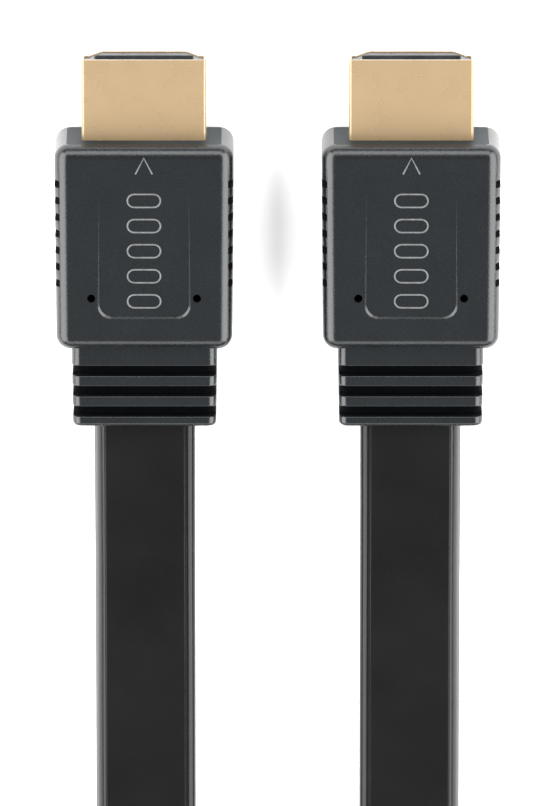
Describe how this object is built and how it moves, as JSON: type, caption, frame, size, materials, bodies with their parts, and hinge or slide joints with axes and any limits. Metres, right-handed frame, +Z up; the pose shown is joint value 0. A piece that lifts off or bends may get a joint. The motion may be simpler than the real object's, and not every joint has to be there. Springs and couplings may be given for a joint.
{
  "type": "flat video cable with two plugs",
  "caption": "Flat black video and audio cable with a moulded, gold-shelled plug on each end, its slack wound into an oval hank.",
  "frame": {"origin": "on the floor, under the middle of the pair of plugs", "axes": "+X across the pair of plugs, +Y towards the plug mouths, +Z up, away from the floor"},
  "size_m": [0.0908, 0.3176, 0.0157],
  "materials": {
    "overmould": "fine spark-eroded texture",
    "shell": "satin gold plate",
    "insulator": "moulded",
    "contact": "bright gold plate",
    "jacket": "smooth satin extrusion",
    "strap": "hook-and-loop tape"
  },
  "bodies": {
    "root": {"left_plug_overmould": "overmould", "left_plug_shell": "shell", "left_plug_insulator": "insulator", "left_plug_contact_01": "contact", "left_plug_contact_02": "contact", "left_plug_contact_03": "contact", "left_plug_contact_04": "contact", "left_plug_contact_05": "contact", "left_plug_contact_06": "contact", "left_plug_contact_07": "contact", "left_plug_contact_08": "contact", "left_plug_contact_09": "contact", "left_plug_contact_10": "contact", "left_plug_contact_11": "contact", "left_plug_contact_12": "contact", "left_plug_contact_13": "contact", "left_plug_contact_14": "contact", "left_plug_contact_15": "contact", "left_plug_contact_16": "contact", "left_plug_contact_17": "contact", "left_plug_contact_18": "contact", "left_plug_contact_19": "contact", "right_plug_overmould": "overmould", "right_plug_shell": "shell", "right_plug_insulator": "insulator", "right_plug_contact_01": "contact", "right_plug_contact_02": "contact", "right_plug_contact_03": "contact", "right_plug_contact_04": "contact", "right_plug_contact_05": "contact", "right_plug_contact_06": "contact", "right_plug_contact_07": "contact", "right_plug_contact_08": "contact", "right_plug_contact_09": "contact", "right_plug_contact_10": "contact", "right_plug_contact_11": "contact", "right_plug_contact_12": "contact", "right_plug_contact_13": "contact", "right_plug_contact_14": "contact", "right_plug_contact_15": "contact", "right_plug_contact_16": "contact", "right_plug_contact_17": "contact", "right_plug_contact_18": "contact", "right_plug_contact_19": "contact", "cord_left_lead": "jacket", "cord_right_lead": "jacket", "cord_hank": "jacket", "hank_strap_left": "strap", "hank_strap_right": "strap"}
  },
  "joints": []
}
